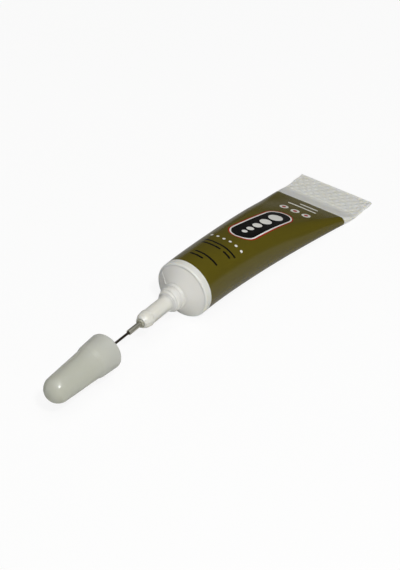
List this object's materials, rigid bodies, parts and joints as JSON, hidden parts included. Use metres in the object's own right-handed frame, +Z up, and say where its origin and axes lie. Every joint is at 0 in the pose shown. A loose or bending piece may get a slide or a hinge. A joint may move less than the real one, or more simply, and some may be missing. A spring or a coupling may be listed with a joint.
{
  "type": "glue tube",
  "caption": "Soft squeeze tube of glue with a crimped flat tail, a threaded neck, a fine steel needle nozzle and a milky screw cap whose steel pin plugs the needle.",
  "frame": {"origin": "under the middle of the whole length, on the surface that the tube lies on", "axes": "+X along the nozzle from the tail to the cap, +Z up out of the printed face"},
  "size_m": [0.1492, 0.0292, 0.019],
  "materials": {
    "printed_sleeve": "white polyethylene with a glossy olive print",
    "white_moulding": "opaque white moulded polyethylene",
    "milky_moulding": "milky moulded polyethylene",
    "needle_steel": "drawn stainless tube",
    "clear_glue": "clear viscous glue",
    "cap_moulding": "milky moulded polyethylene",
    "pin_steel": "dark steel wire"
  },
  "bodies": {
    "tube": {"sleeve": "printed_sleeve", "shoulder": "white_moulding", "nozzle": "milky_moulding", "needle": "needle_steel", "adhesive": "clear_glue"},
    "pin": {"cap_pin": "pin_steel"},
    "cap": {"cap_shell": "cap_moulding"}
  },
  "joints": [
    {"name": "cap_pull", "type": "slide", "parent": "tube", "child": "pin", "axis": [1, 0, 0], "range_m": [-0.0334, 0.02]},
    {"name": "cap_turn", "type": "hinge", "parent": "pin", "child": "cap", "pos_m": [0.05, 0, 0.0095], "axis": [1, 0, 0], "continuous": true}
  ]
}
